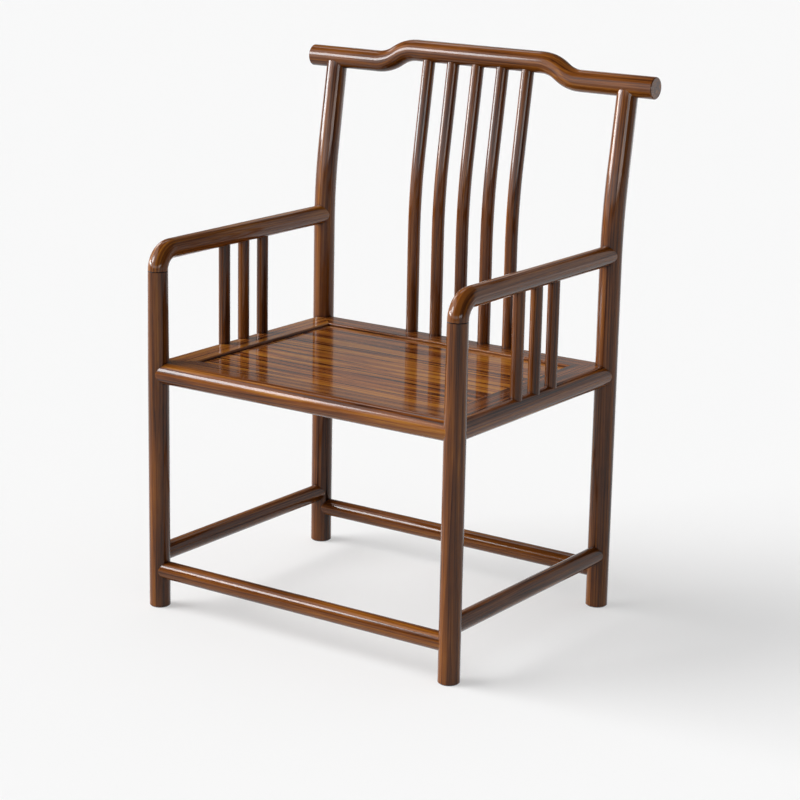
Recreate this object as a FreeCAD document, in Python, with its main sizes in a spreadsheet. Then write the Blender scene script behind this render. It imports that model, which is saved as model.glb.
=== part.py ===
import FreeCAD, Part
import math
import os
import re

import Sketcher

# Comb-back armchair of round members, joined by mortise and tenon with coped shoulders.
# Millimetres, +Z up, +Y to the back; the origin is on the floor below the middle of the chair.

SIZES = {
    # Legs and the stretchers between them
    "leg_axis_width": 624,
    "leg_axis_depth": 485,
    "front_leg_radius": 18.75,
    "rear_leg_radius": 19.75,
    "rear_leg_top_radius": 19,
    "rear_leg_ear_drop": 8,
    "foot_ease": 2,
    "stretcher_radius": 16.25,
    "stretcher_height": 69,
    "side_stretcher_rise": 29,
    # Seat frame: each rail has a half-round nose just inside the leg axes and a flat that runs inwards
    "seat_height": 450,
    "seat_rail_thickness": 38,
    "seat_rail_flat": 48,
    "seat_nose_inset": 1.5,
    "seat_arris_radius": 2.5,
    # Floating seat panel and the battens that keep it flat
    "panel_recess": 5,
    "panel_thickness": 14,
    "panel_gap": 1,
    "tongue_drop": 4,
    "tongue_thickness": 6,
    "tongue_depth": 7,
    "batten_spacing": 260,
    "batten_width": 40,
    "batten_thickness": 16,
    "dovetail_neck": 18,
    "dovetail_flare": 3,
    "dovetail_height": 5,
    # Arms
    "arm_height": 647.5,
    "arm_radius": 17.75,
    "arm_bend_radius": 34,
    "arm_joint_ease": 0.6,
    "arm_spindle_radius": 10.5,
    "arm_spindle_pitch": 55.5,
    "arm_spindle_forward": 3.5,
    # Back: posts and spindles share one bent line, and the crest rail lies in its upper plane
    "back_lean": 9,
    "back_bend_height": 708,
    "back_bend_radius": 1000,
    "crest_height": 940,
    "crest_radius": 19.5,
    "crest_length": 733,
    "crest_raised_length": 269,
    "crest_curve_run": 82,
    "crest_rise": 26,
    "crest_end_ease": 1.5,
    "back_spindle_radius": 11.6,
    "back_spindle_pitch": 53,
    # Joints
    "tenon_thickness": 10,
    "tenon_reach": 8,
    "rail_tenon_height": 13,
    "rail_tenon_gap": 2,
    "stretcher_tenon_height": 20,
    "arm_tenon_height": 18,
    "arm_post_tenon_radius": 8,
    "arm_post_tenon_length": 16,
    "spindle_tenon_radius": 7,
    "spindle_tenon_length": 12,
    "post_tenon_radius": 10,
    "post_tenon_length": 24,
    "batten_tenon_width": 24,
    "batten_tenon_height": 9,
    "batten_tenon_length": 10,
    "joint_clearance": 0.1,
    "end_clearance": 1,
}
BACK_SPINDLES = 5
ARM_SPINDLES = 3

# Places worked out from the sizes, as expressions
LEG_X = "(leg_axis_width / 2)"
CREST_RUN = "((crest_height - back_bend_height) / cos(back_lean))"
RAKE = "((crest_height - back_bend_height) * tan(back_lean))"
RAISED_RAKE = f"({RAKE} + crest_rise * sin(back_lean))"
DEPTH = f"(front_leg_radius + leg_axis_depth + {RAISED_RAKE} + crest_radius)"
FRONT_Y = f"(front_leg_radius - {DEPTH} / 2)"
REAR_Y = f"({FRONT_Y} + leg_axis_depth)"
MID_Y = f"({FRONT_Y} + leg_axis_depth / 2)"
CREST_Y = f"({REAR_Y} + {RAKE})"
NOSE = "(seat_rail_thickness / 2)"
RAIL_Z = f"(seat_height - {NOSE})"
PANEL_TOP = "(seat_height - panel_recess)"
PANEL_UNDER = f"({PANEL_TOP} - panel_thickness)"
TONGUE_TOP = f"({PANEL_TOP} - tongue_drop)"
BATTEN_Z = f"({PANEL_UNDER} - batten_thickness / 2)"
OPENING_X = "(leg_axis_width - 2 * seat_rail_flat)"
OPENING_Y = "(leg_axis_depth - 2 * seat_rail_flat)"
ARM_JOINT_Z = "(arm_height - arm_bend_radius - arm_joint_ease)"
ARM_UNDER = "(arm_height - arm_radius)"
BEND_TANGENT = "(back_bend_radius * tan(back_lean / 2))"
CREST_CURVE_RADIUS = "((crest_curve_run ^ 2 + crest_rise ^ 2) / (4 * crest_rise))"

# The room that a mortise leaves at the sides and at the end of its tenon
ROOM = ("joint_clearance", "end_clearance")

SIGNS = {"left": -1, "right": 1}
LEGS = {
    f"{row}_leg_{side}": (f"{sign} * {LEG_X}", y, f"{row}_leg_radius")
    for row, y in (("front", FRONT_Y), ("rear", REAR_Y))
    for side, sign in SIGNS.items()
}
# Each side of the chair: its direction and the legs at its low and high ends
ENDS = {
    "front": ("x", "front_leg_left", "front_leg_right"),
    "rear": ("x", "rear_leg_left", "rear_leg_right"),
    "left": ("y", "front_leg_left", "rear_leg_left"),
    "right": ("y", "front_leg_right", "rear_leg_right"),
}

doc = FreeCAD.newDocument("comb_back_armchair")
sheet = doc.addObject("Spreadsheet::Sheet", "Sizes")
for row, (name, value) in enumerate(SIZES.items(), start=1):
    sheet.set(f"A{row}", name)
    sheet.set(f"B{row}", str(value))
    sheet.setAlias(f"B{row}", name)
doc.recompute()

pieces = []
mortises = {leg: [] for leg in LEGS}


def cells(expression):
    """The expression with each size's name turned into its cell on the sheet."""
    return re.sub(r"[a-z_]+", lambda m: f"Sizes.{m[0]}" if m[0] in SIZES else m[0], str(expression))


def worth(expression):
    """The expression's present value."""
    return float(sheet.evalExpression(cells(expression)))


def bind(thing, **bound):
    """Ties a feature's properties to the sheet."""
    for prop, expression in bound.items():
        thing.setExpression(prop, cells(expression))
    return thing


def put(thing, place):
    """Ties the place of a feature to the sheet."""
    for letter, expression in zip("xyz", place):
        thing.setExpression(f"Placement.Base.{letter}", cells(expression))
    return thing


def turned(axis, angle):
    """A placement at the origin, turned by an angle in degrees about an axis."""
    return FreeCAD.Placement(FreeCAD.Vector(), FreeCAD.Rotation(FreeCAD.Vector(*axis), angle))


# Upright bars have the seam of their round at the back, away from the mortises
ALONG = {"x": turned((0, 1, 0), 90), "y": turned((-1, 0, 0), 90), "z": turned((0, 0, 1), 90)}
UPRIGHT = turned((1, 1, 1), 120)


def block(name, centre, size):
    """A box about its centre."""
    box = bind(doc.addObject("Part::Box", name), Length=size[0], Width=size[1], Height=size[2])
    return put(box, [f"{mid} - ({extent}) / 2" for mid, extent in zip(centre, size)])


def aim(thing, start, axis):
    """Runs a bar from its start along x, y or z, or up the leaning part of the back."""
    if axis == "lean":
        thing.Placement = turned((-1, 0, 0), worth("back_lean"))
        thing.setExpression("Placement.Rotation.Angle", cells("back_lean"))
    else:
        thing.Placement = ALONG[axis]
    return put(thing, start)


def rod(name, start, axis, length, radius):
    """A round bar from its start."""
    bar = bind(doc.addObject("Part::Cylinder", name), Radius=radius, Height=length)
    return aim(bar, start, axis)


def taper(name, start, axis, length, first, last):
    """A round bar from its start that changes its radius."""
    cone = bind(doc.addObject("Part::Cone", name), Radius1=first, Radius2=last, Height=length)
    return aim(cone, start, axis)


def fuse(name, shapes):
    """The shapes as one solid."""
    joined = doc.addObject("Part::MultiFuse", name)
    joined.Shapes = shapes
    joined.Refine = True
    return joined


def cut(name, base, tools):
    """The base with every tool taken away."""
    taken = doc.addObject("Part::Cut", name)
    taken.Base = base
    taken.Tool = tools[0] if len(tools) == 1 else fuse(f"{name}_tools", tools)
    taken.Refine = True
    return taken


def piece(label, thing):
    """Names a finished sub-part."""
    thing.Label = label
    pieces.append(thing)


def arc_between(start, end, radius, turn):
    """The short arc from start to end; a turn of 1 is anticlockwise and -1 clockwise."""
    chord = end - start
    rise = math.sqrt(max(radius ** 2 - chord.Length ** 2 / 4, 0))
    left = FreeCAD.Vector(-chord.y, chord.x, 0).normalize()
    centre = (start + end) / 2 + left * rise * turn
    first, last = (start, end) if turn > 0 else (end, start)
    angles = [math.atan2(p.y - centre.y, p.x - centre.x) for p in (first, last)]
    return Part.ArcOfCircle(Part.Circle(centre, FreeCAD.Vector(0, 0, 1), radius), *angles)


def fix_point(sketch, geometry, end, place):
    """Ties one end of a line or arc to the sheet."""
    for kind, axis, expression in zip(("DistanceX", "DistanceY"), (-2, -1), place):
        if expression == "0":
            sketch.addConstraint(Sketcher.Constraint("PointOnObject", geometry, end, axis))
            continue
        value = worth(expression)
        index = sketch.addConstraint(Sketcher.Constraint(kind, -1, 1, geometry, end, value))
        sketch.setExpression(f"Constraints[{index}]", cells(expression))


def draw(sketch, points, closed=True):
    """Draws a chain through the points; (x, y) ends a line and (x, y, radius, turn) an arc."""
    places = [FreeCAD.Vector(worth(p[0]), worth(p[1]), 0) for p in points]
    chain = list(range(1, len(points))) + ([0] if closed else [])
    first = previous = None
    for number in chain:
        start, end = places[number - 1], places[number]
        entry, leave = 1, 2
        if len(points[number]) == 2:
            geometry = sketch.addGeometry(Part.LineSegment(start, end), False)
        else:
            radius, turn = points[number][2:]
            geometry = sketch.addGeometry(arc_between(start, end, worth(radius), turn), False)
            index = sketch.addConstraint(Sketcher.Constraint("Radius", geometry, worth(radius)))
            sketch.setExpression(f"Constraints[{index}]", cells(radius))
            entry, leave = (1, 2) if turn > 0 else (2, 1)
        if previous is None:
            first = (geometry, entry)
            fix_point(sketch, geometry, entry, points[number - 1][:2])
        else:
            sketch.addConstraint(Sketcher.Constraint("Coincident", *previous, geometry, entry))
        if number == 0:
            sketch.addConstraint(Sketcher.Constraint("Coincident", geometry, leave, *first))
        else:
            fix_point(sketch, geometry, leave, points[number][:2])
        previous = (geometry, leave)
    return sketch


def body_sketch(body, role, points):
    """A closed sketch on one of a body's own origin planes."""
    sketch = body.newObject("Sketcher::SketchObject", f"{body.Name}_{role}")
    plane = next(p for p in body.Origin.OriginFeatures if p.Role == f"{role}_Plane")
    sketch.AttachmentSupport = (plane, [""])
    sketch.MapMode = "FlatFace"
    return draw(sketch, points)


def pad(name, role, points, length):
    """A body whose outline is padded both ways from an origin plane."""
    body = doc.addObject("PartDesign::Body", name)
    feature = body.newObject("PartDesign::Pad", f"{name}_pad")
    feature.Profile = body_sketch(body, role, points)
    feature.SideType = "Symmetric"
    bind(feature, Length=length)
    return body


def swept(name, path, start, axis, radius):
    """A round bar that follows a path sketch from its start."""
    section = bind(doc.addObject("Part::Circle", f"{name}_section"), Radius=radius)
    section.Placement = ALONG[axis]
    put(section, start)
    bar = doc.addObject("Part::Sweep", f"{name}_sweep")
    bar.Sections = [section]
    bar.Spine = (path, [])
    bar.Solid = True
    return bar


def path_sketch(name, placement, place, points):
    """An open sketch that a bar follows."""
    sketch = doc.addObject("Sketcher::SketchObject", f"{name}_path")
    sketch.Placement = placement
    put(sketch, place)
    return draw(sketch, points, closed=False)


def up_the_back(run):
    """How far back and how high the leaning part of the back is, at a run from the bend's corner."""
    return f"({run} * sin(back_lean))", f"(back_bend_height + {run} * cos(back_lean))"


def back_bar(label, x, bottom, radius, beyond=()):
    """A bar that follows the back from its bottom to the end of the bend and any points beyond."""
    points = [
        ("0", bottom),
        ("0", f"back_bend_height - {BEND_TANGENT}"),
        (*up_the_back(BEND_TANGENT), "back_bend_radius", -1),
        *beyond,
    ]
    path = path_sketch(label, UPRIGHT, (x, REAR_Y, "0"), points)
    return swept(label, path, (x, REAR_Y, bottom), "z", radius)


def front_leg_blank(label):
    """A front leg as it leaves the lathe: straight to the seat, then tapered to the arm's tenon."""
    x, y, radius = LEGS[label]
    body = doc.addObject("PartDesign::Body", f"{label}_blank")
    points = [
        ("0", "0"),
        (f"{radius} - foot_ease", "0"),
        (radius, "foot_ease"),
        (radius, "seat_height"),
        ("arm_radius", f"{ARM_JOINT_Z} - arm_joint_ease"),
        ("arm_radius - arm_joint_ease", ARM_JOINT_Z),
        ("arm_post_tenon_radius", ARM_JOINT_Z),
        ("arm_post_tenon_radius", f"{ARM_JOINT_Z} + arm_post_tenon_length"),
        ("0", f"{ARM_JOINT_Z} + arm_post_tenon_length"),
    ]
    sketch = body_sketch(body, "XZ", points)
    feature = body.newObject("PartDesign::Revolution", f"{label}_turning")
    feature.Profile = sketch
    feature.ReferenceAxis = (sketch, ["V_Axis"])
    feature.Angle = 360
    return put(body, (x, y, "0"))


def rear_leg_blank(label):
    """A rear leg in one piece from the floor into the crest rail, tapered above the bend."""
    x, y, radius = LEGS[label]
    foot = taper(f"{label}_foot", (x, y, "0"), "z", "foot_ease", f"{radius} - foot_ease", radius)
    bar = back_bar(label, x, "foot_ease", radius)
    back, height = up_the_back(BEND_TANGENT)
    length = f"{CREST_RUN} - {BEND_TANGENT} - rear_leg_ear_drop"
    top = taper(f"{label}_top", (x, f"{y} + {back}", height), "lean", length, radius, "rear_leg_top_radius")
    return fuse(f"{label}_blank", [foot, bar, top])


def crest_blank():
    """The crest rail: a straight bar whose middle is raised between two S-bends."""
    radius = CREST_CURVE_RADIUS
    raised = "crest_raised_length / 2"
    outer = f"({raised} + crest_curve_run)"
    halfway = f"({raised} + crest_curve_run / 2)"
    reach = "(crest_length / 2 - crest_end_ease)"
    points = [
        (f"-{reach}", "0"),
        (f"-{outer}", "0"),
        (f"-{halfway}", "crest_rise / 2", radius, 1),
        (f"-{raised}", "crest_rise", radius, -1),
        (raised, "crest_rise"),
        (halfway, "crest_rise / 2", radius, -1),
        (outer, "0", radius, 1),
        (reach, "0"),
    ]
    tilt = turned((1, 0, 0), worth("90 - back_lean"))
    path = path_sketch("crest_rail", tilt, ("0", CREST_Y, "crest_height"), points)
    path.setExpression("Placement.Rotation.Angle", cells("90 - back_lean"))
    bar = swept("crest_rail", path, (f"-{reach}", CREST_Y, "crest_height"), "x", "crest_radius")
    eased = "crest_radius - crest_end_ease"
    caps = [
        taper(f"crest_rail_end_{side}", (start, CREST_Y, "crest_height"), "x", "crest_end_ease", *radii)
        for side, start, radii in (
            ("left", "-crest_length / 2", (eased, "crest_radius")),
            ("right", reach, ("crest_radius", eased)),
        )
    ]
    return fuse("crest_rail_blank", [bar, *caps])


def arm_blank(label, sign):
    """An arm bent down at the front to meet its leg, and running back to the rear leg's axis."""
    x = f"{sign} * {LEG_X}"
    start = f"{ARM_JOINT_Z} + arm_joint_ease"
    points = [
        ("0", start),
        ("arm_bend_radius", "arm_height", "arm_bend_radius", -1),
        ("leg_axis_depth", "arm_height"),
    ]
    path = path_sketch(label, UPRIGHT, (x, FRONT_Y, "0"), points)
    bar = swept(label, path, (x, FRONT_Y, start), "z", "arm_radius")
    eased = "arm_radius - arm_joint_ease"
    lip = taper(f"{label}_lip", (x, FRONT_Y, ARM_JOINT_Z), "z", "arm_joint_ease", eased, "arm_radius")
    return fuse(f"{label}_blank", [lip, bar])


def leg_key(name, leg, axis, inward, height, tall, spare="0", end="0"):
    """The box of a tenon in a leg, from inside its member to past the leg's axis."""
    x, y, radius = LEGS[leg]
    length = f"{radius} + 2 * tenon_reach + {end}"
    shift = f"{inward} * ({radius} - {end}) / 2"
    across = f"tenon_thickness + 2 * {spare}"
    upright = f"{tall} + 2 * {spare}"
    if axis == "x":
        return block(name, (f"{x} + {shift}", y, height), (length, across, upright))
    return block(name, (x, f"{y} + {shift}", height), (across, length, upright))


def tenon(name, leg, axis, inward, height, tall):
    """A tenon into a leg, with the leg's mortise for it."""
    mortises[leg].append(leg_key(f"{name}_mortise", leg, axis, inward, height, tall, *ROOM))
    return leg_key(f"{name}_tenon", leg, axis, inward, height, tall)


def between_legs(label, side, bar, height, tall):
    """A bar between two legs, coped to their rounds and tenoned into both."""
    axis, low, high = ENDS[side]
    coped = cut(f"{label}_coped", bar, [blanks[low], blanks[high]])
    ends = [
        tenon(f"{label}_{leg}", leg, axis, inward, height, tall)
        for leg, inward in ((low, 1), (high, -1))
    ]
    return fuse(f"{label}_bar", [coped, *ends])


def stretcher(side):
    """A round bar between the legs near the floor, higher at the sides."""
    label = f"stretcher_{side}"
    axis, low, _ = ENDS[side]
    x, y, _ = LEGS[low]
    height = "stretcher_height" if axis == "x" else "(stretcher_height + side_stretcher_rise)"
    length = "leg_axis_width" if axis == "x" else "leg_axis_depth"
    bar = rod(f"{label}_rod", (x, y, height), axis, length, "stretcher_radius")
    piece(label, between_legs(label, side, bar, height, "stretcher_tenon_height"))


def rail_blank(side):
    """A seat rail: its moulded section, grooved for the panel and mitred at both ends."""
    nose, inset, flat = NOSE, "seat_nose_inset", "seat_rail_flat"
    groove_top = f"{TONGUE_TOP} + joint_clearance - {RAIL_Z}"
    groove_under = f"{TONGUE_TOP} - tongue_thickness - joint_clearance - {RAIL_Z}"
    groove_end = f"{flat} - tongue_depth - end_clearance"
    section = [
        (inset, f"-{nose}", nose, 1),
        (flat, f"-{nose}"),
        (flat, groove_under),
        (groove_end, groove_under),
        (groove_end, groove_top),
        (flat, groove_top),
        (flat, f"{nose} - seat_arris_radius"),
        (f"{flat} - seat_arris_radius", nose, "seat_arris_radius", 1),
        (inset, nose),
        (f"{inset} - {nose}", "0", nose, 1),
    ]
    axis, _, _ = ENDS[side]
    length = "leg_axis_width" if axis == "x" else "leg_axis_depth"
    body = pad(f"seat_rail_{side}_section", "YZ", section, length)
    for name, sign in SIGNS.items():
        end = f"{sign} * {length} / 2"
        offcut = [(end, "0"), (end, f"2 * {flat}"), (f"{end} - {2 * sign} * {flat}", f"2 * {flat}")]
        feature = body.newObject("PartDesign::Pocket", f"seat_rail_{side}_mitre_{name}")
        feature.Profile = body_sketch(body, "XY", offcut)
        feature.SideType = "Symmetric"
        bind(feature, Length="2 * seat_rail_thickness")
    turns = {"front": 0, "rear": 180, "left": -90, "right": 90}
    body.Placement = turned((0, 0, 1), turns[side])
    middles = {
        "front": ("0", FRONT_Y),
        "rear": ("0", REAR_Y),
        "left": (f"-{LEG_X}", MID_Y),
        "right": (LEG_X, MID_Y),
    }
    return put(body, (*middles[side], RAIL_Z))


def peg(name, place, shoulder, kind, spare="0", end="0"):
    """An upright round tenon, as long on both sides of its shoulder, or with room its mortise."""
    half = f"({kind}_tenon_length + {end})"
    start = (*place, f"{shoulder} - {half}")
    return rod(name, start, "z", f"2 * {half}", f"{kind}_tenon_radius + {spare}")


def batten_places():
    """The places across of the two battens."""
    return {side: f"{sign} * batten_spacing / 2" for side, sign in SIGNS.items()}


def batten_key(name, x, row, spare="0", end="0"):
    """The stub tenon of a batten in the front or rear rail, or with room its mortise."""
    sign = -1 if row == "front" else 1
    centre = (x, f"{MID_Y} + {sign} * {OPENING_Y} / 2", BATTEN_Z)
    size = (
        f"batten_tenon_width + 2 * {spare}",
        f"2 * (batten_tenon_length + {end})",
        f"batten_tenon_height + 2 * {spare}",
    )
    return block(name, centre, size)


def seat_rail(side):
    """A seat rail with its tenons and the holes for what stands on it or ends in it."""
    label = f"seat_rail_{side}"
    axis, _, _ = ENDS[side]
    step = "(rail_tenon_height + rail_tenon_gap) / 2"
    height = f"({RAIL_Z} + {step})" if axis == "x" else f"({RAIL_Z} - {step})"
    bar = between_legs(label, side, blanks[label], height, "rail_tenon_height")
    standing = []
    if side == "rear":
        standing = [(number, (x, REAR_Y)) for number, x in back_spindle_places()]
    if axis == "y":
        standing = [(number, (f"{SIGNS[side]} * {LEG_X}", y)) for number, y in arm_spindle_places()]
    holes = [
        peg(f"{label}_hole_{number}", place, "seat_height", "spindle", *ROOM)
        for number, place in standing
    ]
    if axis == "x":
        holes += [
            batten_key(f"{label}_batten_{name}", x, side, *ROOM)
            for name, x in batten_places().items()
        ]
    piece(label, cut(f"{label}_cut", bar, holes))


def dovetail(name, x, length, spare="0"):
    """The dovetail key along a batten, or with spare room the slot for it."""
    neck = f"(dovetail_neck / 2 + {spare})"
    wide = f"({neck} + dovetail_flare)"
    top = f"dovetail_height + {spare}"
    points = [(f"-{neck}", "0"), (neck, "0"), (wide, top), (f"-{wide}", top)]
    return put(pad(name, "XZ", points, length), (x, MID_Y, PANEL_UNDER))


def seat_panel():
    """The floating panel, tongued all round and slotted underneath for the battens."""
    tongue_x = f"{OPENING_X} + 2 * tongue_depth"
    tongue_y = f"{OPENING_Y} + 2 * tongue_depth"
    field = block(
        "seat_panel_field",
        ("0", MID_Y, f"{PANEL_TOP} - panel_thickness / 2"),
        (f"{OPENING_X} - 2 * panel_gap", f"{OPENING_Y} - 2 * panel_gap", "panel_thickness"),
    )
    tongue = block(
        "seat_panel_tongue",
        ("0", MID_Y, f"{TONGUE_TOP} - tongue_thickness / 2"),
        (tongue_x, tongue_y, "tongue_thickness"),
    )
    slots = [
        dovetail(f"seat_panel_slot_{side}", x, tongue_y, "joint_clearance")
        for side, x in batten_places().items()
    ]
    piece("seat_panel", cut("seat_panel_cut", fuse("seat_panel_board", [field, tongue]), slots))


def seat_batten(side, x):
    """A batten under the panel, keyed into it and tenoned into the front and rear rails."""
    label = f"seat_batten_{side}"
    bar = block(f"{label}_bar", (x, MID_Y, BATTEN_Z), ("batten_width", OPENING_Y, "batten_thickness"))
    key = dovetail(f"{label}_key", x, OPENING_Y)
    ends = [batten_key(f"{label}_tenon_{row}", x, row) for row in ("front", "rear")]
    piece(label, fuse(f"{label}_joined", [bar, key, *ends]))


def back_spindle_places():
    """The numbers and places across of the back spindles."""
    middle = (BACK_SPINDLES + 1) / 2
    return [(n, f"{n - middle} * back_spindle_pitch") for n in range(1, BACK_SPINDLES + 1)]


def arm_spindle_places():
    """The numbers and places front to back of the arm spindles."""
    middle = (ARM_SPINDLES + 1) / 2
    start = f"({MID_Y} - arm_spindle_forward)"
    return [(n, f"{start} + {n - middle} * arm_spindle_pitch") for n in range(1, ARM_SPINDLES + 1)]


def crest_key(name, x, rise, radius, length):
    """The round tenon of a post or spindle in the crest rail, as long on both sides of the shoulder."""
    back, height = up_the_back(f"({CREST_RUN} + {rise} - crest_radius - {length})")
    return rod(name, (x, f"{REAR_Y} + {back}", height), "lean", f"2 * {length}", radius)


def crest_joint(name, x, rise, radius, length):
    """A tenon into the crest rail, with the rail's mortise for it."""
    deep = f"({length} + end_clearance)"
    crest_holes.append(crest_key(f"{name}_crest_mortise", x, rise, f"{radius} + joint_clearance", deep))
    return crest_key(f"{name}_crest_tenon", x, rise, radius, length)


def back_spindle(number, x):
    """A bent spindle of the back, coped on to the rear seat rail and the raised part of the crest rail."""
    label = f"back_spindle_{number}"
    top = up_the_back(f"({CREST_RUN} + crest_rise)")
    bar = back_bar(label, x, RAIL_Z, "back_spindle_radius", [top])
    coped = cut(f"{label}_coped", bar, [blanks["seat_rail_rear"], blanks["crest_rail"]])
    foot = peg(f"{label}_foot", (x, REAR_Y), "seat_height", "spindle")
    head = crest_joint(label, x, "crest_rise", "spindle_tenon_radius", "spindle_tenon_length")
    piece(label, fuse(f"{label}_joined", [coped, foot, head]))


def arm_spindle(side, number, y):
    """A straight spindle, coped on to a side rail and the arm above it."""
    label = f"arm_spindle_{side}_{number}"
    x = f"{SIGNS[side]} * {LEG_X}"
    bar = rod(f"{label}_rod", (x, y, RAIL_Z), "z", f"arm_height - {RAIL_Z}", "arm_spindle_radius")
    coped = cut(f"{label}_coped", bar, [blanks[f"seat_rail_{side}"], blanks[f"arm_{side}"]])
    ends = [
        peg(f"{label}_{name}", (x, y), shoulder, "spindle")
        for name, shoulder in (("foot", "seat_height"), ("head", ARM_UNDER))
    ]
    piece(label, fuse(f"{label}_joined", [coped, *ends]))


def arm(side, sign):
    """An arm, with a mortise for its front leg, a tenon into its rear leg and holes for its spindles."""
    label = f"arm_{side}"
    x = f"{sign} * {LEG_X}"
    coped = cut(f"{label}_coped", blanks[label], [blanks[f"rear_leg_{side}"]])
    back = tenon(label, f"rear_leg_{side}", "y", -1, "arm_height", "arm_tenon_height")
    holes = [peg(f"{label}_post_mortise", (x, FRONT_Y), ARM_JOINT_Z, "arm_post", *ROOM)]
    holes += [
        peg(f"{label}_hole_{number}", (x, y), ARM_UNDER, "spindle", *ROOM)
        for number, y in arm_spindle_places()
    ]
    piece(label, cut(f"{label}_cut", fuse(f"{label}_joined", [coped, back]), holes))


def front_leg(side):
    """A front leg with its mortises."""
    label = f"front_leg_{side}"
    piece(label, cut(f"{label}_cut", blanks[label], mortises[label]))


def rear_leg(side, sign):
    """A rear leg coped and tenoned to the crest rail, with its mortises."""
    label = f"rear_leg_{side}"
    x = f"{sign} * {LEG_X}"
    coped = cut(f"{label}_coped", blanks[label], [blanks["crest_rail"]])
    head = crest_joint(label, x, "0", "post_tenon_radius", "post_tenon_length")
    piece(label, cut(f"{label}_cut", fuse(f"{label}_joined", [coped, head]), mortises[label]))


def check_document():
    """Stops if a feature failed or a sub-part isn't one sound solid."""
    failed = [f.Label for f in doc.Objects if {"Invalid", "Error"} & set(f.State)]
    for thing in pieces:
        shape = thing.Shape
        if shape.isNull() or not shape.isValid() or len(shape.Solids) != 1:
            failed.append(thing.Label)
    if failed:
        raise SystemExit("failed: " + ", ".join(failed))


blanks = {f"front_leg_{side}": front_leg_blank(f"front_leg_{side}") for side in SIGNS}
blanks.update({f"rear_leg_{side}": rear_leg_blank(f"rear_leg_{side}") for side in SIGNS})
blanks.update({f"seat_rail_{side}": rail_blank(side) for side in ENDS})
blanks.update({f"arm_{side}": arm_blank(f"arm_{side}", sign) for side, sign in SIGNS.items()})
blanks["crest_rail"] = crest_blank()
crest_holes = []

for side in ENDS:
    stretcher(side)
    seat_rail(side)
seat_panel()
for side, x in batten_places().items():
    seat_batten(side, x)
for side, sign in SIGNS.items():
    arm(side, sign)
    for number, y in arm_spindle_places():
        arm_spindle(side, number, y)
for number, x in back_spindle_places():
    back_spindle(number, x)
for side, sign in SIGNS.items():
    front_leg(side)
    rear_leg(side, sign)
piece("crest_rail", cut("crest_rail_cut", blanks["crest_rail"], crest_holes))

doc.recompute()
check_document()
os.makedirs("parts", exist_ok=True)
for thing in pieces:
    thing.Shape.exportStep(f"parts/{thing.Label}.step")
    print(f"{thing.Label}: {thing.Shape.Volume / 1000:.1f} cm3")
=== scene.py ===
"""Looks of a comb-back armchair in dark, golden-streaked hardwood under a clear lacquer."""
import random
from math import cos, pi, radians, sin, tan

import bpy
from mathutils import Euler, Matrix, Vector


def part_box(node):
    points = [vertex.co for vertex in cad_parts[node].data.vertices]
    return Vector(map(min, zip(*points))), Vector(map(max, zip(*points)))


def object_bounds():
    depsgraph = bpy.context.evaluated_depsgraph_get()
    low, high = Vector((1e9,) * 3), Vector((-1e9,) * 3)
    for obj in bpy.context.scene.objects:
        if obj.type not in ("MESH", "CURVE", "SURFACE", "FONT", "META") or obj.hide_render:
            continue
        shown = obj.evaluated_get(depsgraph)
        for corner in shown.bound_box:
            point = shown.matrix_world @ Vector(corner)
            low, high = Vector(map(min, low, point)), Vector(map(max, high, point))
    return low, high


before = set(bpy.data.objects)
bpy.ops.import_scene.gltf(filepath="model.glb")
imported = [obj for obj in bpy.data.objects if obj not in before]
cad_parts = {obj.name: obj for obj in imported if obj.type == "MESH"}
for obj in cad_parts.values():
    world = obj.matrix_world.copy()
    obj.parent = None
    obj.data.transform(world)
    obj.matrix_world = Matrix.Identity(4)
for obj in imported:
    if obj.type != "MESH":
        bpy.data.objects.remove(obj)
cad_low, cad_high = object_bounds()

# Shape of the chair's bent members, in metres and degrees
BACK_BEND_HEIGHT = 0.708
BACK_BEND_EASE = 0.0186
BACK_LEAN = 9
CREST_RAISED_HALF = 0.1345
CREST_CURVE_RUN = 0.082
CREST_RISE = 0.026
ARM_BEND_Y = -0.2293
ARM_BEND_Z = 0.6135
ARM_BEND_RADIUS = 0.034
ARM_JOINT_HEIGHT = 0.6129

# Log that the pieces are sawn from: lengths in metres, and the turns that bring each way of the grain to Z
SAWING_SEED = 7
LOG_REACH = 20
HEART_OFFSET = 0.034
HEART_TILT = 0.02
WANDER_DEPTH = 0.007
RINGS_PER_METRE = 150
RINGS_PER_BAND = 2.5
GOLD_SHIFT = (3.1, 1.7, 5.3)
GRAIN_TURNS = {"x": (0, -pi / 2), "y": (pi / 2, 0), "z": (0, 0)}

# Noises of the wood, with their scales per metre across and along the grain
WANDER_NOISE = {"scale": (9, 9, 2.2)}
STREAK_NOISE = {"scale": (78, 78, 1.5), "detail": 3, "roughness": 0.6}
BAND_NOISE = {"scale": (26, 26, 0.7)}
VEIN_NOISE = {"scale": (62, 62, 1.3), "detail": 1}
FIBRE_NOISE = {"scale": (900, 900, 14)}
PORE_NOISE = {"scale": (520, 520, 24), "detail": 1}
CLOUD_NOISE = {"scale": (7, 7, 7), "detail": 3}
NOISE_MIDDLE = 0.5

# How far a vein's noise may be from its middle
VEIN_WIDTH = 0.035

# Levels of a noise, or of a ring's year from 0 to 1, between which each goes from not at all to fully
NOISE_RANGE = (0.3, 0.7)
STREAK_RANGE = (0.34, 0.66)
BAND_RANGE = (0.28, 0.72)
PORE_RANGE = (0.66, 0.74)
RING_PALING = (0, 0.72)
RING_DARKENING = (0.86, 1)

# What each part of the figure adds to the tone, which goes from 0, the darkest streak, to 1, the brightest
STREAK_SHARE = 0.58
RING_SHARE = 0.24
BAND_SHARE = 0.18
GOLD_VEIN_SHARE = 0.2
DARK_VEIN_SHARE = -0.3

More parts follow.
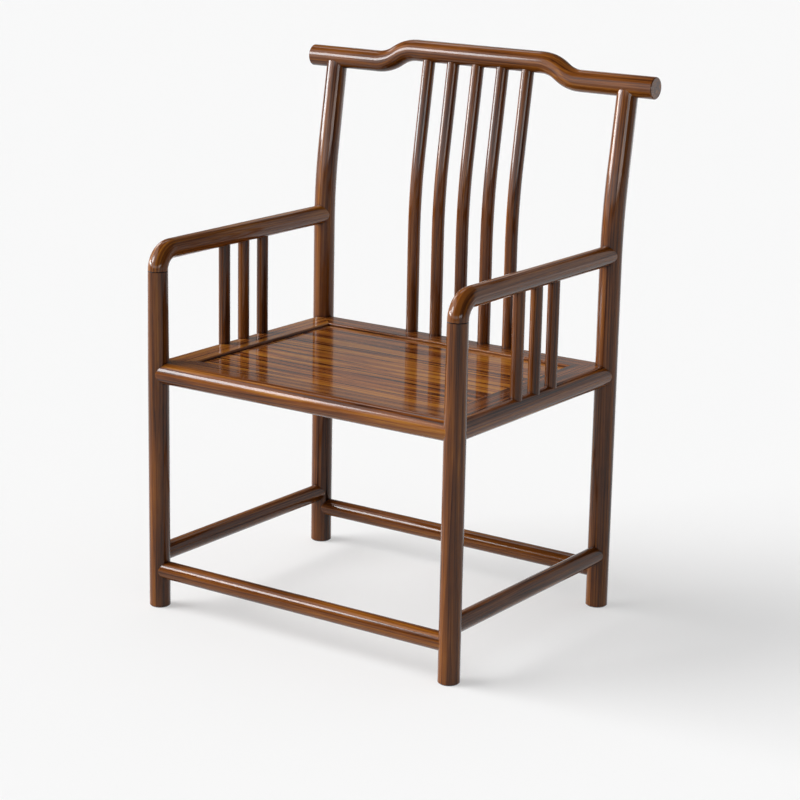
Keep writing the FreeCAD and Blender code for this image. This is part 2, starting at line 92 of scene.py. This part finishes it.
# How far the surface of a piece shifts the tone, and where: reaches and lines in metres
CLOUD_SHIFT = 0.08
FIBRE_SHIFT = 0.05
PORE_SHIFT = -0.22
WEAR_SHIFT = 0.12
WEAR_REACH = 0.003
WEAR_RANGE = (0.98, 0.8)
WEAR_SAMPLES = 4
# Painted shade: the tone darkens where nearby surfaces close in, in crevices and where parts meet
CREVICE_SHADING_SHIFT = -0.4
CREVICE_SHADING_REACH = 0.009
CREVICE_SHADING_RANGE = (0.35, 0.8)
CREVICE_SHADING_SAMPLES = 8
JOINT_SHIFT = -0.5
JOINT_LINE = (0.0006, 0.0013)
JOINED_PIECES = ("front_leg", "arm_left", "arm_right")

# Linear colours from the darkest streak to the brightest, with their places on the tone scale
ROUND_TONES = (
    (0.10, (0.022, 0.0056, 0.0011)),
    (0.28, (0.060, 0.0158, 0.0024)),
    (0.45, (0.114, 0.0320, 0.0042)),
    (0.62, (0.185, 0.0565, 0.0070)),
    (0.80, (0.285, 0.1030, 0.0125)),
)
RAIL_TONES = (
    (0.10, (0.030, 0.0072, 0.0014)),
    (0.28, (0.088, 0.0225, 0.0034)),
    (0.45, (0.158, 0.0440, 0.0060)),
    (0.62, (0.215, 0.0670, 0.0084)),
    (0.80, (0.290, 0.1080, 0.0130)),
)
PANEL_TONES = (
    (0.10, (0.040, 0.0090, 0.0018)),
    (0.28, (0.122, 0.0288, 0.0046)),
    (0.45, (0.225, 0.0605, 0.0080)),
    (0.62, (0.300, 0.0970, 0.0115)),
    (0.80, (0.390, 0.1560, 0.0175)),
)
TONES = {
    "round_wood": ROUND_TONES,
    "rail_wood": RAIL_TONES,
    "panel_wood": PANEL_TONES,
    "batten_wood": RAIL_TONES,
}

# How strong, either side of the mean tone, and how fine the figure of each wood is
MEAN_TONE = 0.45
FIGURE_STRENGTH = {"round_wood": 0.55, "rail_wood": 0.9, "panel_wood": 1.25, "batten_wood": 0.75}
FIGURE_FINENESS = {"round_wood": 1.7, "rail_wood": 1.3, "panel_wood": 1, "batten_wood": 1.3}

# How much lighter or darker some pieces are than the rest of their wood: partly tone that differs from piece
# to piece, partly painted light, with the left arm and left rail made lighter as if lit and the right rail
# and right stretcher darker as if in shade
PIECE_TONE_AND_LIGHT_SHIFTS = {
    "rear_leg": -0.02,
    "arm_spindle": -0.04,
    "arm_left": 0.18,
    "arm_right": 0.05,
    "seat_rail_left": 0.1,
    "seat_rail_right": -0.17,
    "stretcher_front": 0.04,
    "stretcher_rear": 0.04,
    "stretcher_right": -0.08,
}

# Wood under the lacquer, and the lacquer
WOOD_SPECULAR = 0.02
WOOD_ROUGHNESS = (0.34, 0.46)
PORE_ROUGHNESS = 0.15
FIBRE_RELIEF = 0.35
PORE_RELIEF = -1
RELIEF_STRENGTH = 0.18
RELIEF_DEPTH = 0.0004
LACQUER_IOR = 1.36
LACQUER_ROUGHNESS = {"round_wood": 0.11, "rail_wood": 0.12, "panel_wood": 0.06, "batten_wood": 0.1}

# Camera: where it stands, in metres, and how it is turned, in degrees
CAMERA_PLACE = (2.31298, -3.33313, 1.44182)
CAMERA_YAW = 34.4996
CAMERA_PITCH = 14.6823
CAMERA_ROLL = 1.1227
CAMERA_LENS = 106.181
SENSOR_WIDTH = 36

# Suns that light the wood's own colour and the floor: azimuth, height and spread in degrees, and strength.
# An azimuth is counted from straight ahead of the chair, negative to the left in the picture.
SUNS = {
    "key": (-60, 26, 50, 5.2),
    "top": (0, 90, 120, 1.05),
}

# Softboxes that show only in the lacquer: azimuth in degrees, distance, height, width and tallness in
# metres, and radiance
SOFTBOX_COLOUR = (0.94, 0.97, 1)
SOFTBOXES = {
    "key_box": (-43.8, 2.66, 1.83, 0.9, 0.94, 20),
    "post_box": (-64, 4, 1.14, 2.3, 0.4, 24),
    "key_glow": (-47, 1.35, 1.5, 2.0, 1.7, 2),
    "left_box": (-102, 2.2, 1.75, 0.7, 0.9, 5),
    "front_box": (5, 8, 1.6, 8, 1.2, 2.4),
    "right_box": (54, 8, 1.48, 4.2, 0.9, 6),
    "back_box": (158, 3.0, 1.6, 3.4, 2.8, 0.5),
    "arm_box": (-152.6, 1.4, 1.42, 0.64, 0.4, 0.8),
    "rim_box": (-123, 2.4, 3.75, 1.4, 1.0, 2.7),
}

# Room and its backdrop, whose soft edges are in degrees from straight behind the chair or from the horizon
ROOM_COLOUR = (1, 1, 1, 1)
ROOM_RADIANCE = 0.06
BACKDROP_RADIANCE = 0.29
BACKDROP_LEFT = (-39.2, -38.2)
BACKDROP_RIGHT = (50, 75)
BACKDROP_TOP = (24, 32)

# Floor: what is seen of it, what it throws on to the chair, and how much of it is shadowless background
FLOOR_SIZE = 60
FLOOR_ROUGHNESS = 0.9
FLOOR_COLOUR = (0.82, 0.82, 0.82, 1)
FLOOR_BOUNCE_COLOUR = (0.5, 0.5, 0.5, 1)
BACKGROUND_COLOUR = (0.96, 0.96, 0.96, 1)
BACKGROUND_SHARE = 0.45


class Nodes:
    """A node tree that takes one line to add a node, set its sockets and link it."""

    def __init__(self, tree):
        self.tree = tree

    def add(self, kind, inputs=(), **settings):
        """A new node with these settings, and with its inputs linked to sockets or set to values."""
        node = self.tree.nodes.new(kind)
        for name, value in settings.items():
            setattr(node, name, value)
        for name, value in dict(inputs).items():
            socket = node.inputs[name]
            if isinstance(value, bpy.types.NodeSocket):
                self.tree.links.new(value, socket)
            else:
                socket.default_value = value
        return node

    def math(self, operation, *values):
        """The result of one step of arithmetic."""
        return self.add("ShaderNodeMath", enumerate(values), operation=operation).outputs[0]

    def vector(self, operation, *vectors):
        """The vector that one step of vector arithmetic gives."""
        return self.add("ShaderNodeVectorMath", enumerate(vectors), operation=operation).outputs["Vector"]

    def measure(self, operation, *vectors):
        """The number that one step of vector arithmetic gives."""
        return self.add("ShaderNodeVectorMath", enumerate(vectors), operation=operation).outputs["Value"]

    def split(self, vector):
        """The X, Y and Z of a vector."""
        return tuple(self.add("ShaderNodeSeparateXYZ", {0: vector}).outputs)

    def join(self, x, y, z):
        """The vector with this X, Y and Z."""
        return self.add("ShaderNodeCombineXYZ", {"X": x, "Y": y, "Z": z}).outputs[0]

    def noise(self, vector, scale, detail=2, roughness=0.5, output="Fac"):
        """A noise with its own scale along each axis."""
        place = self.vector("MULTIPLY", vector, scale)
        inputs = {"Vector": place, "Scale": 1, "Detail": detail, "Roughness": roughness}
        return self.add("ShaderNodeTexNoise", inputs).outputs[output]

    def ranged(self, value, low, high, to_low=0, to_high=1, smooth=False):
        """A value brought from one range to another and held inside it."""
        inputs = {"Value": value, "From Min": low, "From Max": high, "To Min": to_low, "To Max": to_high}
        kind = "SMOOTHSTEP" if smooth else "LINEAR"
        return self.add("ShaderNodeMapRange", inputs, interpolation_type=kind).outputs[0]

    def ramp(self, value, stops):
        """The colour at a value, between stops of a place and a colour."""
        node = self.add("ShaderNodeValToRGB", {"Fac": value})
        elements = node.color_ramp.elements
        for place, _ in stops[1:-1]:
            elements.new(place)
        for element, (place, colour) in zip(elements, stops):
            element.position = place
            element.color = (*colour, 1)
        return node.outputs[0]


def new_material(name):
    """An empty material and its Nodes."""
    material = bpy.data.materials.new(name)
    material.use_nodes = True
    material.node_tree.nodes.clear()
    return material, Nodes(material.node_tree)


def growth_rings(nodes, place, bands):
    """Rings round the log's heart, which pale through the year and darken at its end."""
    x, y, z = nodes.split(place)
    leaning = nodes.math("MULTIPLY_ADD", z, HEART_TILT, x)
    from_heart = nodes.join(nodes.math("ADD", leaning, HEART_OFFSET), y, 0)
    radius = nodes.measure("LENGTH", from_heart)
    uneven = nodes.math("MULTIPLY", bands, RINGS_PER_BAND)
    year = nodes.math("FRACT", nodes.math("MULTIPLY_ADD", radius, RINGS_PER_METRE, uneven))
    paling = nodes.ranged(year, *RING_PALING, smooth=True)
    darkening = nodes.ranged(year, *RING_DARKENING, 1, 0, smooth=True)
    return nodes.math("MULTIPLY", paling, darkening)


def veins(nodes, place):
    """Thin lines and long eyes along the grain, from 0 between them to 1 on them."""
    level = nodes.noise(place, **VEIN_NOISE)
    off = nodes.math("ABSOLUTE", nodes.math("SUBTRACT", level, NOISE_MIDDLE))
    return nodes.ranged(off, 0, VEIN_WIDTH, 1, 0, smooth=True)


def figure_tone(nodes, place):
    """The tone of the wood: streaks, with rings, wide bands, golden veins and dark veins over them."""
    bands = nodes.noise(place, **BAND_NOISE)
    streaks = nodes.ranged(nodes.noise(place, **STREAK_NOISE), *STREAK_RANGE)
    layers = (
        (growth_rings(nodes, place, bands), RING_SHARE),
        (nodes.ranged(bands, *BAND_RANGE), BAND_SHARE),
        (veins(nodes, nodes.vector("ADD", place, GOLD_SHIFT)), GOLD_VEIN_SHARE),
        (veins(nodes, place), DARK_VEIN_SHARE),
    )
    tone = nodes.math("MULTIPLY", streaks, STREAK_SHARE)
    for layer, share in layers:
        tone = nodes.math("MULTIPLY_ADD", layer, share, tone)
    return tone


def figure_group():
    """The wood's figure, with the grain along Z: tone of the streaks, fine fibre and open pores."""
    tree = bpy.data.node_groups.new("wood_figure", "ShaderNodeTree")
    tree.interface.new_socket("Vector", in_out="INPUT", socket_type="NodeSocketVector")
    for title in ("Tone", "Fibre", "Pores"):
        tree.interface.new_socket(title, in_out="OUTPUT", socket_type="NodeSocketFloat")
    nodes = Nodes(tree)
    place = nodes.add("NodeGroupInput").outputs["Vector"]
    ways = nodes.noise(place, **WANDER_NOISE, output="Color")
    wander = nodes.vector("SUBTRACT", ways, (NOISE_MIDDLE, NOISE_MIDDLE, NOISE_MIDDLE))
    bent = nodes.vector("MULTIPLY_ADD", wander, (WANDER_DEPTH, WANDER_DEPTH, 0), place)
    nodes.add("NodeGroupOutput", {
        "Tone": figure_tone(nodes, bent),
        "Fibre": nodes.noise(bent, **FIBRE_NOISE),
        "Pores": nodes.ranged(nodes.noise(bent, **PORE_NOISE), *PORE_RANGE, smooth=True),
    })
    return tree


def straight(nodes, place):
    """The grain of a straight member runs along it as it is."""
    return place


def along_the_back(nodes, place):
    """Straightens the members of the back: takes their lean above the bend out of Y."""
    x, y, z = nodes.split(place)
    above = nodes.math("SUBTRACT", z, BACK_BEND_HEIGHT)
    slope = nodes.math("MULTIPLY", above, tan(radians(BACK_LEAN)))
    lean = nodes.math("SMOOTH_MAX", slope, 0, BACK_BEND_EASE)
    return nodes.join(x, nodes.math("SUBTRACT", y, lean), z)


def along_the_crest(nodes, place):
    """Straightens the crest rail: takes the rise of its middle out of Z."""
    x, y, z = nodes.split(place)
    aside = nodes.math("ABSOLUTE", x)
    curve_end = CREST_RAISED_HALF + CREST_CURVE_RUN
    rise = nodes.ranged(aside, CREST_RAISED_HALF, curve_end, CREST_RISE, 0, smooth=True)
    return nodes.join(x, y, nodes.math("SUBTRACT", z, rise))


def along_the_arm(nodes, place):
    """Straightens an arm: unrolls its front bend, so that the grain runs round it and down to the leg."""
    x, y, z = nodes.split(place)
    behind = nodes.math("SUBTRACT", y, ARM_BEND_Y)
    above = nodes.math("SUBTRACT", z, ARM_BEND_Z)
    forward = nodes.math("MAXIMUM", nodes.math("MULTIPLY", behind, -1), 0)
    upward = nodes.math("MAXIMUM", above, 0)
    upward_squared = nodes.math("MULTIPLY", upward, upward)
    radius = nodes.math("SQRT", nodes.math("MULTIPLY_ADD", forward, forward, upward_squared))
    turn = nodes.math("ARCTAN2", forward, upward)
    straight_run = nodes.math("ADD", nodes.math("MAXIMUM", behind, 0), nodes.math("MINIMUM", above, 0))
    run = nodes.math("MULTIPLY_ADD", turn, -ARM_BEND_RADIUS, straight_run)
    return nodes.join(x, nodes.math("ADD", run, ARM_BEND_Y), nodes.math("ADD", radius, ARM_BEND_Z))


def grain_of(name):
    """The direction of a piece's grain and how it flows round the piece's bends."""
    if name == "crest_rail":
        return "x", along_the_crest
    if name.startswith(("rear_leg", "back_spindle")):
        return "z", along_the_back
    if "leg" in name or "spindle" in name:
        return "z", straight
    if name.startswith("arm"):
        return "y", along_the_arm
    if name.endswith(("front", "rear")) or name == "seat_panel":
        return "x", straight
    return "y", straight


def sawn_place(nodes, name, here, sawing):
    """Where a point of a piece was in the log: bends straightened, grain along Z, and a place of its own."""
    axis, flow = grain_of(name)
    low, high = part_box(name)
    turn = Euler((*GRAIN_TURNS[axis], sawing.uniform(0, 2 * pi)))
    along_the_log = sawing.uniform(-LOG_REACH, LOG_REACH)
    shift = Vector((0, 0, along_the_log)) - turn.to_matrix() @ ((low + high) / 2)
    inputs = {"Vector": flow(nodes, here), "Location": shift, "Rotation": turn}
    return nodes.add("ShaderNodeMapping", inputs, vector_type="POINT").outputs[0]


def figured_wood(nodes, slot, place, figure):
    """The tone, fibre and pores at a place in the log, as strong and as fine as the slot's figure is."""
    fineness = FIGURE_FINENESS[slot]
    scaled = nodes.vector("MULTIPLY", place, (fineness, fineness, 1))
    bold_tone, fibre, pores = nodes.add("ShaderNodeGroup", {"Vector": scaled}, node_tree=figure).outputs
    strength = FIGURE_STRENGTH[slot]
    tone = nodes.math("MULTIPLY_ADD", bold_tone, strength, MEAN_TONE * (1 - strength))
    return tone, fibre, pores


def edge_wear(nodes):
    """How near a point is to an arris, from 0 on a plain surface to 1 on the arris."""
    eased = nodes.add("ShaderNodeBevel", {"Radius": WEAR_REACH}, samples=WEAR_SAMPLES).outputs[0]
    plain = nodes.add("ShaderNodeNewGeometry").outputs["Normal"]
    return nodes.ranged(nodes.measure("DOT_PRODUCT", eased, plain), *WEAR_RANGE)


def painted_crevice_shading(nodes):
    """How far painted shade darkens the tone, from nothing on an open surface to all of it in a crevice."""
    inputs = {"Distance": CREVICE_SHADING_REACH}
    open_air = nodes.add("ShaderNodeAmbientOcclusion", inputs, samples=CREVICE_SHADING_SAMPLES).outputs["AO"]
    return nodes.ranged(open_air, *CREVICE_SHADING_RANGE, CREVICE_SHADING_SHIFT, 0)


def arm_joint(nodes, here):
    """The thin dark line where an arm stands on its front leg, from 0 off it to 1 on it."""
    _, _, height = nodes.split(here)
    off = nodes.math("ABSOLUTE", nodes.math("SUBTRACT", height, ARM_JOINT_HEIGHT))
    return nodes.ranged(off, *JOINT_LINE, 1, 0)


def surface_tone(nodes, name, here, tone, fibre, pores):
    """The tone with a piece's own shift (partly painted light), clouds, fibre, pores, worn arrises, painted
    shade in crevices and joint line.
    """
    # The piece's shift is partly painted light: lighter on pieces facing the key light, darker on the shaded
    # right side
    tone_and_light_shift = next((shift for start, shift in PIECE_TONE_AND_LIGHT_SHIFTS.items() if name.startswith(start)), 0)
    cloud = nodes.noise(here, **CLOUD_NOISE)
    clouds_and_light_shift = nodes.ranged(cloud, *NOISE_RANGE, tone_and_light_shift - CLOUD_SHIFT, tone_and_light_shift + CLOUD_SHIFT)
    shifted_tone = nodes.math("ADD", tone, clouds_and_light_shift)
    fibred = nodes.math("ADD", shifted_tone, nodes.ranged(fibre, *NOISE_RANGE, -FIBRE_SHIFT, FIBRE_SHIFT))
    pored = nodes.math("MULTIPLY_ADD", pores, PORE_SHIFT, fibred)
    worn = nodes.math("MULTIPLY_ADD", edge_wear(nodes), WEAR_SHIFT, pored)
    # Painted shade in crevices and where parts meet
    with_crevice_shading = nodes.math("ADD", worn, painted_crevice_shading(nodes))
    if name.startswith(JOINED_PIECES):
        return nodes.math("MULTIPLY_ADD", arm_joint(nodes, here), JOINT_SHIFT, with_crevice_shading)
    return with_crevice_shading


def lacquered(nodes, slot, colour, fibre, pores):
    """Wood of a colour, with fibre and pores in its roughness and relief, under smooth lacquer."""
    plain_roughness = nodes.ranged(fibre, *NOISE_RANGE, *WOOD_ROUGHNESS)
    relief = nodes.math("MULTIPLY_ADD", pores, PORE_RELIEF, nodes.math("MULTIPLY", fibre, FIBRE_RELIEF))
    bump = {"Strength": RELIEF_STRENGTH, "Distance": RELIEF_DEPTH, "Height": relief}
    return nodes.add("ShaderNodeBsdfPrincipled", {
        "Base Color": colour,
        "Roughness": nodes.math("MULTIPLY_ADD", pores, PORE_ROUGHNESS, plain_roughness),
        "Normal": nodes.add("ShaderNodeBump", bump).outputs[0],
        "Specular IOR Level": WOOD_SPECULAR,
        "Coat Weight": 1,
        "Coat Roughness": LACQUER_ROUGHNESS[slot],
        "Coat IOR": LACQUER_IOR,
    }).outputs[0]


def wood(name, slot, figure, sawing):
    """One piece's lacquered wood, with its own figure and its slot's tones."""
    material, nodes = new_material(f"{slot}.{name}")
    here = nodes.add("ShaderNodeTexCoord").outputs["Object"]
    place = sawn_place(nodes, name, here, sawing)
    tone, fibre, pores = figured_wood(nodes, slot, place, figure)
    colour = nodes.ramp(surface_tone(nodes, name, here, tone, fibre, pores), TONES[slot])
    nodes.add("ShaderNodeOutputMaterial", {"Surface": lacquered(nodes, slot, colour, fibre, pores)})
    return material


def slot_of(name):
    """The record's material slot of a piece."""
    if name == "seat_panel":
        return "panel_wood"
    if name.startswith("seat_rail"):
        return "rail_wood"
    if name.startswith("seat_batten"):
        return "batten_wood"
    return "round_wood"


def finish_pieces():
    """Gives every piece its own wood."""
    figure = figure_group()
    sawing = random.Random(SAWING_SEED)
    for name in sorted(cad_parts):
        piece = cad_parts[name]
        slot = slot_of(name)
        piece.data.materials.clear()
        piece.data.materials.append(wood(name, slot, figure, sawing))


def floor_paint():
    """Pale paint, part of whose paleness is a background that takes no shadow."""
    material, nodes = new_material("floor_paint")
    rays = nodes.add("ShaderNodeLightPath").outputs
    mirrored = nodes.math("MAXIMUM", rays["Is Glossy Ray"], rays["Is Transmission Ray"])
    seen = nodes.math("MAXIMUM", rays["Is Camera Ray"], mirrored)
    colour = nodes.add("ShaderNodeMixRGB", {0: seen, 1: FLOOR_BOUNCE_COLOUR, 2: FLOOR_COLOUR})
    paint = nodes.add("ShaderNodeBsdfPrincipled", {
        "Base Color": colour.outputs[0],
        "Roughness": FLOOR_ROUGHNESS,
        "Specular IOR Level": 0,
    })
    background = nodes.add("ShaderNodeEmission", {"Color": BACKGROUND_COLOUR})
    share = nodes.math("MULTIPLY", seen, BACKGROUND_SHARE)
    mixed = nodes.add("ShaderNodeMixShader", {0: share, 1: paint.outputs[0], 2: background.outputs[0]})
    nodes.add("ShaderNodeOutputMaterial", {"Surface": mixed.outputs[0]})
    return material


def make_floor():
    """A plain pale floor at the chair's feet."""
    half = FLOOR_SIZE / 2
    corners = [(x * half, y * half, cad_low.z) for x, y in ((-1, -1), (1, -1), (1, 1), (-1, 1))]
    mesh = bpy.data.meshes.new("floor")
    mesh.from_pydata(corners, [], [(0, 1, 2, 3)])
    mesh.materials.append(floor_paint())
    floor = bpy.data.objects.new("floor", mesh)
    bpy.context.scene.collection.objects.link(floor)


def make_room():
    """A dim room with a paler backdrop behind the chair, which shows in the lacquer of the seat."""
    world = bpy.data.worlds.new("room")
    world.use_nodes = True
    nodes = Nodes(world.node_tree)
    x, y, z = nodes.split(nodes.add("ShaderNodeTexCoord").outputs["Generated"])
    azimuth = nodes.math("ARCTAN2", x, y)
    left, right = (nodes.ranged(azimuth, *(radians(a) for a in edge), smooth=True)
                   for edge in (BACKDROP_LEFT, BACKDROP_RIGHT))
    top = nodes.ranged(z, *(sin(radians(a)) for a in BACKDROP_TOP), smooth=True)
    across = nodes.math("SUBTRACT", left, right)
    backdrop = nodes.math("MULTIPLY", across, nodes.math("SUBTRACT", 1, top))
    strength = nodes.math("MULTIPLY_ADD", backdrop, BACKDROP_RADIANCE, ROOM_RADIANCE)
    background = world.node_tree.nodes["Background"]
    background.inputs["Color"].default_value = ROOM_COLOUR
    world.node_tree.links.new(strength, background.inputs["Strength"])
    bpy.context.scene.world = world


def add_lamp(name, lamp, place, turn):
    """Puts a lamp into the scene, out of the camera's sight."""
    light = bpy.data.objects.new(name, lamp)
    light.location = place
    light.rotation_euler = turn
    light.visible_camera = False
    bpy.context.scene.collection.objects.link(light)
    return light


def make_sun(name, azimuth, height, spread, strength):
    """A broad soft light on the wood's own colour, which the lacquer doesn't mirror."""
    lamp = bpy.data.lights.new(name, "SUN")
    lamp.energy = strength
    lamp.angle = radians(spread)
    light = add_lamp(name, lamp, (0, 0, 0), Euler((radians(90 - height), 0, radians(azimuth))))
    light.visible_glossy = False


def make_softbox(name, azimuth, distance, height, width, tallness, radiance):
    """An upright softbox that faces the chair and shows only as a highlight in the lacquer."""
    lamp = bpy.data.lights.new(name, "AREA")
    lamp.shape = "RECTANGLE"
    lamp.size = width
    lamp.size_y = tallness
    lamp.color = SOFTBOX_COLOUR
    lamp.energy = radiance * pi * width * tallness
    turn = radians(azimuth)
    place = (distance * sin(turn), -distance * cos(turn), height)
    light = add_lamp(name, lamp, place, Euler((pi / 2, 0, turn)))
    light.visible_diffuse = False


def make_light():
    """A broad key light from the left, a softer one overhead, and the softboxes."""
    for name, sun in SUNS.items():
        make_sun(name, *sun)
    for name, softbox in SOFTBOXES.items():
        make_softbox(name, *softbox)


def make_camera():
    """The camera at the photograph's viewing angle."""
    data = bpy.data.cameras.new("camera")
    data.lens = CAMERA_LENS
    data.sensor_width = SENSOR_WIDTH
    camera = bpy.data.objects.new("camera", data)
    camera.matrix_world = (
        Matrix.Translation(CAMERA_PLACE)
        @ Matrix.Rotation(radians(CAMERA_YAW), 4, "Z")
        @ Matrix.Rotation(radians(90 - CAMERA_PITCH), 4, "X")
        @ Matrix.Rotation(radians(CAMERA_ROLL), 4, "Z")
    )
    bpy.context.scene.collection.objects.link(camera)
    bpy.context.scene.camera = camera


finish_pieces()
make_floor()
make_room()
make_light()
make_camera()
bpy.context.scene.view_settings.view_transform = "Standard"
